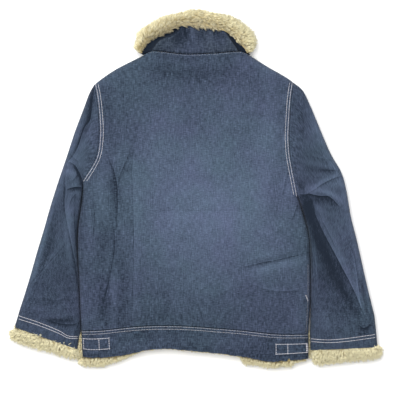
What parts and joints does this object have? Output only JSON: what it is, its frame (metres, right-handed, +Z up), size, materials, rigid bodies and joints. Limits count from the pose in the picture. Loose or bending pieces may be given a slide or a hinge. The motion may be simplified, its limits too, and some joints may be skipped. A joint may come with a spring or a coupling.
{
  "type": "sherpa lined jacket",
  "caption": "Denim work jacket with a sherpa pile lining, laid flat face down with its pile collar turned up, tabs on the waistband",
  "frame": {"origin": "on the surface that the jacket lies on, under the middle of its outline", "axes": "+Z up out of the surface and out of the jacket's back, +Y towards the collar, +X towards the wearer's right sleeve"},
  "size_m": [0.825, 0.7981, 0.046],
  "materials": {
    "denim": "washed indigo denim twill, matt and slubby",
    "sherpa": "cream sherpa pile, soft and matt",
    "button_metal": "plain aged brass tack buttons"
  },
  "bodies": {
    "root": {"back": "denim", "front_left": "denim", "front_right": "denim", "sleeve_left": "denim", "sleeve_right": "denim", "collar_denim": "denim", "waistband_back": "denim", "waistband_front_left": "denim", "waistband_front_right": "denim", "tab_left": "denim", "tab_right": "denim", "collar_sherpa": "sherpa", "hem_sherpa": "sherpa", "cuff_sherpa_left": "sherpa", "cuff_sherpa_right": "sherpa", "button_1": "button_metal", "button_2": "button_metal", "button_3": "button_metal", "button_4": "button_metal", "button_5": "button_metal", "button_6": "button_metal"}
  },
  "joints": []
}
